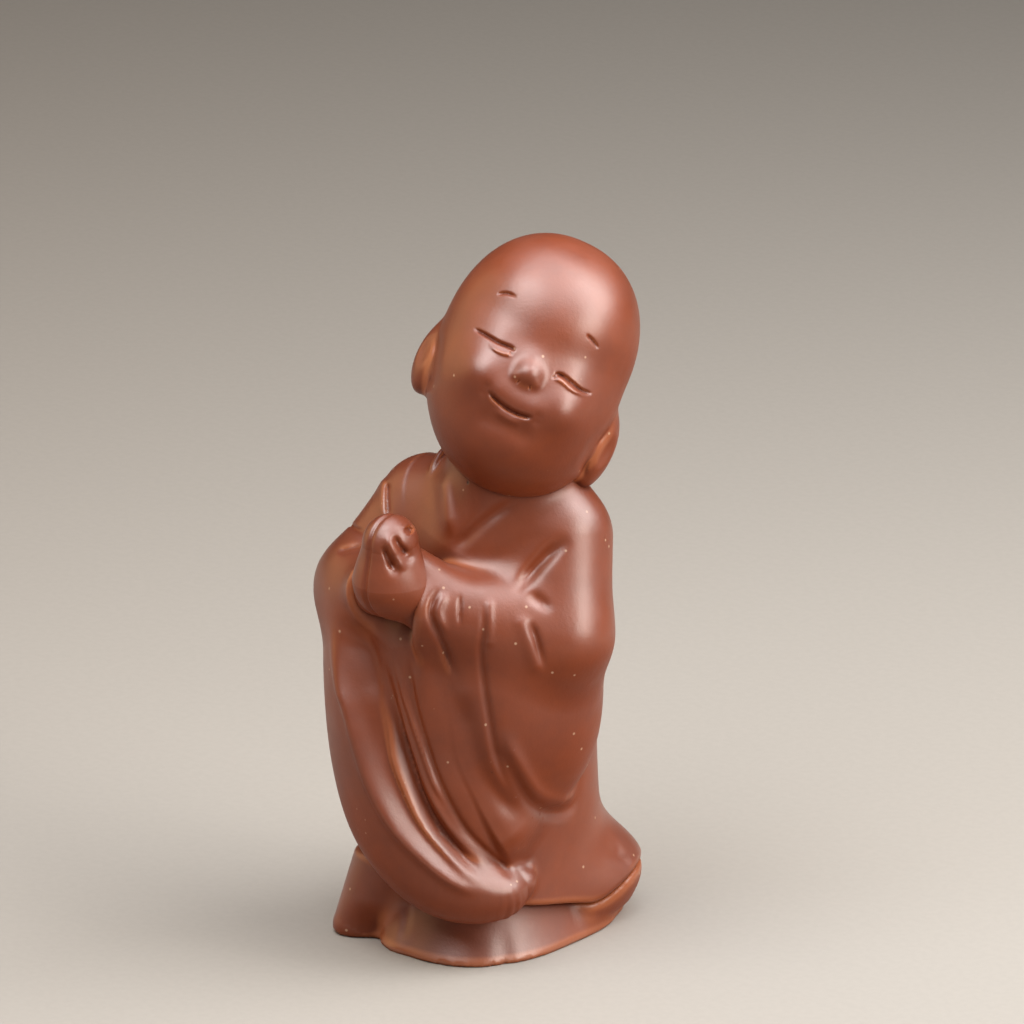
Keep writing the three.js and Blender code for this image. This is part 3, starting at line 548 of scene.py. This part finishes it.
def headAxes():
    turn, nod, tilt = (math.radians(head[k]) for k in ("turn", "nod", "tilt"))
    right = np.array([math.cos(turn), math.sin(turn), 0])
    ahead = np.array([math.sin(turn) * math.cos(nod), -math.cos(turn) * math.cos(nod), math.sin(nod)])
    up = np.cross(right, -ahead)
    x = math.cos(tilt) * right - math.sin(tilt) * up
    z = math.sin(tilt) * right + math.cos(tilt) * up
    return np.stack([x, -ahead, z])

axes = headAxes()
# Relief on the face seen from the front: line through x and z, height, half width, taper
facePads = [
    ([[-8, 4.6], [-4, 3.8], [0.2, 3.0], [4, 3.1], [8, 3.8]], -0.4, 2.9, 0),
    ([[-5.7, 1.9], [-5.6, 1.9]], 0.16, 1.7, 0),
    ([[5.6, 1.1], [5.7, 1.1]], 0.12, 1.7, 0),
    ([[-0.1, 0.2], [0.1, -1.2]], 0.4, 1.5, 0),
    ([[-6.3, -3.9], [-6.2, -3.9]], 1.45, 3.5, 0),
    ([[6.6, -4.2], [6.7, -4.2]], 1.45, 3.5, 0),
    ([[-2.0, -5.2], [2.2, -5.4]], 0.5, 1.8, 0),
    ([[-2.4, -9.0], [2.8, -9.0]], -0.25, 1.2, 0),
    ([[-1.4, -2.3], [-1.3, -2.2]], 0.25, 0.6, 0),
    ([[1.6, -2.3], [1.5, -2.2]], 0.25, 0.6, 0),
]
faceLines = [
    ([[-9.0, 0.9], [-7.2, 0.75], [-5.2, 0.55], [-3.4, 0.6], [-2.7, 0.35]], -0.55, 0.24, 0.22),
    ([[3.0, -0.1], [4.0, 0.15], [5.6, -0.15], [7.2, -0.5], [8.8, -0.3]], -0.55, 0.24, 0.22),
    ([[-6.4, -0.1], [-4.8, -0.5], [-3.5, -0.35], [-2.9, 0.0]], 0.26, 0.26, 0.3),
    ([[3.2, -0.6], [4.4, -0.55], [6.2, -1.0], [8.4, -0.95]], 0.26, 0.26, 0.3),
    ([[-3.4, 0.1], [-2.9, -0.3]], -0.2, 0.22, 0.3),
    ([[3.1, -0.3], [3.5, -0.6]], -0.2, 0.22, 0.3),
    ([[-8.1, 6.1], [-6.9, 6.8], [-5.4, 6.9]], -0.32, 0.2, 0.35),
    ([[4.6, 6.4], [5.8, 5.9], [7.0, 5.3]], -0.32, 0.2, 0.35),
    ([[-3.9, -5.6], [-2.4, -6.3], [-0.4, -6.75], [1.6, -6.75], [3.2, -6.35]], -0.65, 0.28, 0.22),
    ([[-4.2, -5.3], [-4.2, -6.0]], -0.15, 0.6, 0),
    ([[3.5, -6.0], [3.6, -6.6]], -0.12, 0.6, 0),
    ([[-2.4, -7.4], [0.0, -7.9], [2.2, -7.7]], 0.25, 0.5, 0.35),
    ([[-0.9, -2.9], [-0.5, -3.05]], -0.2, 0.25, 0.3),
    ([[0.8, -3.1], [1.2, -2.95]], -0.2, 0.25, 0.3),
]
# Crease between each ear and the cheek
earLines = [
    ([[-13.0, -0.8], [-11.9, -4.0], [-11.0, -7.0], [-10.8, -9.4]], -0.45, 0.6, 0.3),
    ([[12.8, -1.5], [12.2, -4.3], [11.5, -6.9], [11.7, -9.4], [13.0, -10.9]], -0.4, 0.6, 0.35),
]
earRows = [(pointsThrough(line, 6 * len(line)), *rest) for line, *rest in earLines]
faceRows = [(pointsThrough(line, 6 * len(line)), *rest) for line, *rest in facePads + faceLines]

def headField(p):
    h = (p - np.array(head["place"])) @ axes.T
    skull = softMin(softMin(egg(h, *head["cranium"]), egg(h, *head["cheeks"]), 4.0), egg(h, *head["jaw"]), 3.0)
    for ear, bowl in zip(head["ears"], head["bowls"]):
        skull = softMin(skull, softMax(egg(h, *ear), -egg(h, *bowl), 0.8), 1.3)
    face = ramp(-h[:, 1], 3, 6)
    skull = skull - strokes(h[:, [0, 2]], faceRows, 3.0) * face - strokes(h[:, [0, 2]], earRows) * ramp(-h[:, 1], -3, 1)
    return softMin(skull, egg(h, *head["nose"]), 1.4)


# meshes from fields

def newtonStep(field, points, reach):
    nudge = 0.01
    value = field(points)
    slope = np.stack([field(points + nudge * np.eye(3)[i]) - value for i in range(3)], -1) / nudge
    size = np.maximum((slope * slope).sum(1), 0.05)
    move = -(value / size)[:, None] * slope
    length = np.linalg.norm(move, axis=1, keepdims=True) + 1e-9
    return points + move * np.minimum(1, reach / length), slope / np.linalg.norm(slope, axis=1, keepdims=True)

def gridValues(field, low, counts, step):
    """Field on a grid. Far from the skin only the sign is right."""
    coarse = 4
    spots = [low[i] + step * coarse * np.arange(counts[i] // coarse + 1) for i in range(3)]
    rough = field(np.stack(np.meshgrid(*spots, indexing="ij"), -1).reshape(-1, 3))
    rough = rough.reshape([len(s) for s in spots])
    nearest = [np.minimum((np.arange(counts[i]) + coarse // 2) // coarse, len(spots[i]) - 1) for i in range(3)]
    values = rough[np.ix_(*nearest)].copy()
    close = np.argwhere(np.abs(values) < 7.5 * step)
    values[tuple(close.T)] = field(low + step * close)
    return values

def skinOf(field, low, high, step):
    """Quads on the zero skin, one vertex in each grid cell that the skin crosses."""
    counts = np.ceil((np.array(high) - low) / step / 4).astype(int) * 4 + 1
    low = np.array(low, float)
    values = gridValues(field, low, counts, step)
    inside = values < 0
    corners = np.array([[i, j, k] for i in (0, 1) for j in (0, 1) for k in (0, 1)])
    cut = [slice(0, -1), slice(1, None)]
    count = sum(inside[cut[i], cut[j], cut[k]].astype(np.int8) for i, j, k in corners)
    cells = np.argwhere((count > 0) & (count < 8))
    sums, crossings = np.zeros((len(cells), 3)), np.zeros(len(cells))
    for axis in range(3):
        for corner in corners[corners[:, axis] == 0]:
            other = corner + np.eye(3, dtype=int)[axis]
            a, b = values[tuple((cells + corner).T)], values[tuple((cells + other).T)]
            crosses = (a < 0) != (b < 0)
            t = np.where(crosses, a / np.where(crosses, a - b, 1), 0)
            sums += np.where(crosses[:, None], cells + corner + t[:, None] * np.eye(3)[axis], 0)
            crossings += crosses
    points = low + step * sums / crossings[:, None]
    number = np.full(counts, -1)
    number[tuple(cells.T)] = np.arange(len(cells))
    quads = []
    for axis in range(3):
        u, v = np.eye(3, dtype=int)[(axis + 1) % 3], np.eye(3, dtype=int)[(axis + 2) % 3]
        here = [slice(None)] * 3
        there = [slice(None)] * 3
        here[axis], there[axis] = cut
        edges = np.argwhere(inside[tuple(here)] != inside[tuple(there)])
        edges = edges[np.all(edges[:, [(axis + 1) % 3, (axis + 2) % 3]] > 0, axis=1)]
        ring = [number[tuple((edges - a * u - b * v).T)] for a, b in ((1, 1), (0, 1), (0, 0), (1, 0))]
        faces = np.stack(ring, -1)
        flip = ~inside[tuple(edges.T)]
        faces[flip] = faces[flip][:, ::-1]
        quads.append(faces)
    return points, np.concatenate(quads)

def relax(points, quads):
    """Evens the spacing a little."""
    total, count = np.zeros_like(points), np.zeros(len(points))
    for i in range(4):
        a, b = quads[:, i], quads[:, (i + 1) % 4]
        for start, end in ((a, b), (b, a)):
            count += np.bincount(start, minlength=len(points))
            for k in range(3):
                total[:, k] += np.bincount(start, weights=points[end, k], minlength=len(points))
    return 0.5 * points + 0.5 * total / count[:, None]

def refine(points, quads):
    """Each quad becomes four."""
    sides = np.stack([quads, np.roll(quads, -1, axis=1)], -1).reshape(-1, 2)
    pairs, index = np.unique(np.sort(sides, axis=1), axis=0, return_inverse=True)
    mids = points[pairs].mean(1)
    index = index.reshape(-1, 4) + len(points)
    centres = len(points) + len(mids) + np.arange(len(quads))
    finer = [
        np.stack([quads[:, i], index[:, i], centres, index[:, i - 1]], -1)
        for i in range(4)
    ]
    return np.concatenate([points, mids, points[quads].mean(1)]), np.concatenate(finer)

def wornAndHidden(points, normals):
    """How far each point lies on an edge, and in a crevice, from 0 to 1."""
    # The crevice value darkens the clay's colour as painted shade.
    hidden = sum(1 - wholeField(points + h * normals) / h for h in (0.5, 1.2, 2.6)) / 3
    worn = sum(1 + wholeField(points - h * normals) / h for h in (0.6, 1.4)) / 2
    return np.clip(worn, 0, 1), np.clip(hidden, 0, 1)

def wholeField(p):
    return np.minimum(np.minimum(robeOuterField(p), skirtField(p)), np.minimum(handsField(p), headField(p)))

def pressClay(name, field, box, step, levels, nodes, material):
    """A clay piece, meshed from its field and finer by a half at each level."""
    low, high = np.array(box[0], float), np.array(box[1], float)
    levels = levels if fine else levels - 1
    points, quads = skinOf(field, low - 1.1 * step, high + 1.1 * step, step)
    for level in range(levels + 1):
        if level:
            points, quads = refine(points, quads)
            step /= 2
        points = relax(points, quads)
        for again in range(3):
            points, normals = newtonStep(field, points, step)
    worn, hidden = wornAndHidden(points, normals)
    mesh = bpy.data.meshes.new(name)
    mesh.from_pydata(((points + np.array(shift)) * mm).tolist(), [], quads.tolist())
    polish = ramp(normals[:, 2], -0.35, 0.55) * (1 - hidden)
    for label, values in (("worn", worn), ("hidden", hidden), ("polish", polish)):
        mesh.attributes.new(label, "FLOAT", "POINT").data.foreach_set("value", values.astype(np.float32))
    mesh.shade_smooth()
    mesh.validate()
    piece = bpy.data.objects.new(name, mesh)
    bpy.context.scene.collection.objects.link(piece)
    mesh.materials.append(material)
    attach(piece, "root")
    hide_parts(*nodes)
    print(name, len(points), "points")
    return piece


# shader groups

def newGroup(name, inputs, outputs):
    group = bpy.data.node_groups.new(name, "ShaderNodeTree")
    for label, kind, value in inputs:
        socket = group.interface.new_socket(label, in_out="INPUT", socket_type=kind)
        socket.default_value = value
    for label, kind in outputs:
        group.interface.new_socket(label, in_out="OUTPUT", socket_type=kind)
    return group, group.nodes.new("NodeGroupInput").outputs, group.nodes.new("NodeGroupOutput").inputs

def wire(tree, source, target):
    if hasattr(source, "is_output"):
        tree.links.new(source, target)
    else:
        target.default_value = source

def maths(tree, operation, *values):
    node = tree.nodes.new("ShaderNodeMath")
    node.operation = operation
    for socket, value in zip(node.inputs, values):
        wire(tree, value, socket)
    return node.outputs[0]

def remap(tree, value, low, high, outLow=0.0, outHigh=1.0):
    node = tree.nodes.new("ShaderNodeMapRange")
    node.interpolation_type = "SMOOTHSTEP"
    for socket, part in zip(node.inputs, (value, low, high, outLow, outHigh)):
        wire(tree, part, socket)
    return node.outputs[0]

def blendColours(tree, share, a, b, mode="MIX"):
    node = tree.nodes.new("ShaderNodeMix")
    node.data_type, node.blend_type = "RGBA", mode
    for socket, value in zip((node.inputs[0], node.inputs[6], node.inputs[7]), (share, a, b)):
        wire(tree, value, socket)
    return node.outputs[2]

def clayPlace(tree):
    return tree.nodes.new("ShaderNodeTexCoord").outputs["Object"]

def noise(tree, scale, detail=3.0, rough=0.55):
    node = tree.nodes.new("ShaderNodeTexNoise")
    wire(tree, clayPlace(tree), node.inputs["Vector"])
    for label, value in (("Scale", scale), ("Detail", detail), ("Roughness", rough)):
        wire(tree, value, node.inputs[label])
    return node.outputs["Fac"]

def cells(tree, scale, feature="F1"):
    node = tree.nodes.new("ShaderNodeTexVoronoi")
    node.feature = feature
    wire(tree, clayPlace(tree), node.inputs["Vector"])
    wire(tree, scale, node.inputs["Scale"])
    return node.outputs["Distance"], node.outputs["Color"]

def makeToneGroup():
    group, given, out = newGroup("clay tone", [
        ("Clay", "NodeSocketColor", (0.25, 0.08, 0.04, 1)),
        ("Purple", "NodeSocketColor", (0.16, 0.06, 0.045, 1)),
        ("Rubbed", "NodeSocketColor", (0.33, 0.12, 0.065, 1)),
        ("Mottle", "NodeSocketFloat", 0.5),
        ("Worn", "NodeSocketFloat", 0.0),
        ("Hidden", "NodeSocketFloat", 0.0),
    ], [("Color", "NodeSocketColor")])
    broad = remap(group, noise(group, 70.0, 3.0), 0.38, 0.64)
    small = remap(group, noise(group, 420.0, 4.0, 0.7), 0.35, 0.7)
    mottle = maths(group, "MULTIPLY", maths(group, "ADD", maths(group, "MULTIPLY", broad, 0.7), maths(group, "MULTIPLY", small, 0.3)), given["Mottle"])
    colour = blendColours(group, mottle, given["Clay"], given["Purple"])
    # Painted shade: creases, recesses and places under other parts are darkened towards the purple tone.
    colour = blendColours(group, maths(group, "MULTIPLY", given["Hidden"], 0.85), colour, given["Purple"])
    wire(group, blendColours(group, maths(group, "MULTIPLY", given["Worn"], 0.8), colour, given["Rubbed"]), out["Color"])
    return group

def makeGrainGroup():
    group, given, out = newGroup("clay grain", [
        ("Specks", "NodeSocketFloat", 0.5),
        ("Pinholes", "NodeSocketFloat", 0.5),
    ], [("Speck", "NodeSocketFloat"), ("Pinhole", "NodeSocketFloat"), ("Height", "NodeSocketFloat")])
    def scattered(scale, size, share):
        distance, colour = cells(group, scale)
        chosen = group.nodes.new("ShaderNodeSeparateColor")
        wire(group, colour, chosen.inputs[0])
        few = maths(group, "LESS_THAN", chosen.outputs[0], share)
        spot = remap(group, distance, size, size * 0.4)
        return maths(group, "MULTIPLY", spot, few)
    specks = scattered(620.0, 0.16, maths(group, "MULTIPLY", given["Specks"], 0.5))
    pinholes = scattered(260.0, 0.1, maths(group, "MULTIPLY", given["Pinholes"], 0.08))
    wire(group, specks, out["Speck"])
    wire(group, pinholes, out["Pinhole"])
    grain = maths(group, "MULTIPLY", noise(group, 2600.0, 4.0, 0.65), 0.14)
    waves = maths(group, "MULTIPLY", noise(group, 330.0, 3.0, 0.5), 0.22)
    height = maths(group, "ADD", grain, waves)
    height = maths(group, "SUBTRACT", height, maths(group, "MULTIPLY", pinholes, 0.5))
    wire(group, maths(group, "ADD", height, maths(group, "MULTIPLY", specks, 0.03)), out["Height"])
    return group

toneGroup, grainGroup = makeToneGroup(), makeGrainGroup()

def place(tree, group, **values):
    node = tree.nodes.new("ShaderNodeGroup")
    node.node_tree = group
    for label, value in values.items():
        wire(tree, value, node.inputs[label])
    return node.outputs

def attribute(tree, name):
    node = tree.nodes.new("ShaderNodeAttribute")
    node.attribute_name = name
    return node.outputs["Fac"]

def clayMaterial(name, finish):
    material = bpy.data.materials.new(name)
    material.use_nodes = True
    tree = material.node_tree
    shader = tree.nodes["Principled BSDF"]
    worn, hidden = attribute(tree, "worn"), attribute(tree, "hidden")
    wornMask = remap(tree, worn, 0.12, 0.5)
    # The crevice mask darkens the colour as painted shade, and makes the surface rougher there.
    hiddenMask = remap(tree, hidden, 0.2, 0.75)
    tone = place(tree, toneGroup, Clay=finish["clay"], Purple=finish["purple"], Rubbed=finish["rubbed"],
                 Mottle=finish["mottle"], Worn=wornMask, Hidden=hiddenMask)
    grain = place(tree, grainGroup, Specks=finish["specks"], Pinholes=finish["pinholes"])
    colour = blendColours(tree, maths(tree, "MULTIPLY", grain["Speck"], 0.7), tone["Color"], finish["speck"])
    # Pinholes are painted near black, which is painted shade inside each pit; the bump also sinks them a little.
    colour = blendColours(tree, grain["Pinhole"], colour, finish["hole"])
    wire(tree, colour, shader.inputs["Base Color"])
    patchy = remap(tree, noise(tree, 160.0, 3.0), 0.3, 0.7, finish["roughness"] - 0.05, finish["roughness"] + 0.05)
    rough = maths(tree, "ADD", patchy, maths(tree, "MULTIPLY", hiddenMask, 0.14))
    wire(tree, maths(tree, "SUBTRACT", rough, maths(tree, "MULTIPLY", wornMask, 0.05)), shader.inputs["Roughness"])
    bump = tree.nodes.new("ShaderNodeBump")
    bump.inputs["Strength"].default_value = finish["bump"]
    bump.inputs["Distance"].default_value = 0.0004
    wire(tree, grain["Height"], bump.inputs["Height"])
    wire(tree, bump.outputs["Normal"], shader.inputs["Normal"])
    # Hands and tea rags polish what faces up, and leave the undersides matt
    polish = attribute(tree, "polish")
    wire(tree, maths(tree, "MULTIPLY", polish, finish["coat"]), shader.inputs["Coat Weight"])
    wire(tree, remap(tree, polish, 0.0, 1.0, 0.2, 0.9), shader.inputs["Specular IOR Level"])
    shader.inputs["Coat Roughness"].default_value = 0.36
    return material

purpleClay = {
    "clay": (0.222, 0.0435, 0.0115, 1),
    "purple": (0.125, 0.027, 0.0125, 1),
    "rubbed": (0.37, 0.105, 0.037, 1),
    "speck": (0.55, 0.34, 0.22, 1),
    # near black: painted shade inside the pinholes
    "hole": (0.03, 0.012, 0.008, 1),
    "mottle": 0.5,
    "specks": 0.3,
    "pinholes": 0.5,
    "roughness": 0.44,
    "coat": 0.8,
    "bump": 0.5,
}
print("materials ready")


# pieces

clayRobe = clayMaterial("clay robe", purpleClay)
claySkirt = clayMaterial("clay under robe", purpleClay)
clayHands = clayMaterial("clay hands", purpleClay)
clayHead = clayMaterial("clay head", {**purpleClay, "roughness": 0.45, "coat": 0.7})

pressClay("robe_and_sleeves", robeField, ((-22, -23, 2), (20, 22, 72)), 1.08, 2,
          ["robe_front", "robe_back", "left_sleeve", "right_sleeve", "neck_tube", "collar_left", "collar_right"], clayRobe)
pressClay("under_robe_skirt", skirtField, ((-16, -18, -1), (14, 22, 13)), 0.8, 1, ["under_robe"], claySkirt)
pressClay("joined_hands", handsField, ((-7, -26, 44), (9, -9, 65)), 0.6, 2, ["left_hand", "right_hand"], clayHands)
pressClay("head_and_ears", headField, ((-13, -16, 60), (23, 20, 97)), 0.64, 2,
          ["head_front", "head_back", "ear_left", "ear_right"], clayHead)


# floor, background and light

def plainMaterial(name, colour, roughness):
    material = bpy.data.materials.new(name)
    material.use_nodes = True
    tree = material.node_tree
    shader = tree.nodes["Principled BSDF"]
    paper = remap(tree, noise(tree, 900.0, 3.0), 0.3, 0.7)
    tint = tuple(c * 0.97 for c in colour[:3]) + (1,)
    wire(tree, blendColours(tree, paper, colour, tint), shader.inputs["Base Color"])
    shader.inputs["Roughness"].default_value = roughness
    return material

floorMesh = bpy.data.meshes.new("floor")
floorMesh.from_pydata([(x * 4, y * 4, 0) for x, y in ((-1, -1), (1, -1), (1, 1), (-1, 1))], [], [(0, 1, 2, 3)])
floor = bpy.data.objects.new("floor", floorMesh)
bpy.context.scene.collection.objects.link(floor)
floorMesh.materials.append(plainMaterial("pale floor", (0.385, 0.366, 0.333, 1), 0.8))

def softLamp(name, towards, distance, size, power, colour, spread=180):
    data = bpy.data.lights.new(name, "AREA")
    data.shape, data.size = "DISK", size
    data.energy, data.color, data.spread = power, colour, math.radians(spread)
    lamp = bpy.data.objects.new(name, data)
    bpy.context.scene.collection.objects.link(lamp)
    middle = (Vector((0, 0, 50)) + shift) * mm
    way = Vector(towards).normalized()
    lamp.location = middle + way * distance
    lamp.rotation_euler = (-way).to_track_quat("-Z", "Y").to_euler()

softLamp("overhead", (0.12, 0.05, 0.99), 0.36, 0.42, 1.25, (1.0, 0.98, 1.0))
softLamp("forward overhead", (-0.02, -0.52, 0.85), 0.36, 0.3, 1.05, (1.0, 0.97, 0.95))
softLamp("behind his left", (0.58, 0.45, 0.68), 0.42, 0.34, 1.7, (1.0, 0.96, 0.93))
softLamp("his left", (0.85, 0.1, 0.3), 0.5, 0.27, 1.35, (1.0, 0.92, 0.84))
softLamp("warm right", (-0.85, -0.35, 0.3), 0.5, 0.55, 0.7, (1.0, 0.62, 0.32))

world = bpy.data.worlds.new("world")
bpy.context.scene.world = world
world.use_nodes = True
tree = world.node_tree
background = tree.nodes["Background"]
rays = tree.nodes.new("ShaderNodeLightPath")
seen = maths(tree, "MAXIMUM", rays.outputs["Is Camera Ray"], rays.outputs["Is Transmission Ray"])
wire(tree, blendColours(tree, seen, (0.025, 0.024, 0.023, 1), (0.86, 0.82, 0.75, 1)), background.inputs["Color"])
background.inputs["Strength"].default_value = 1.0

bpy.context.scene.view_settings.view_transform = "Standard"
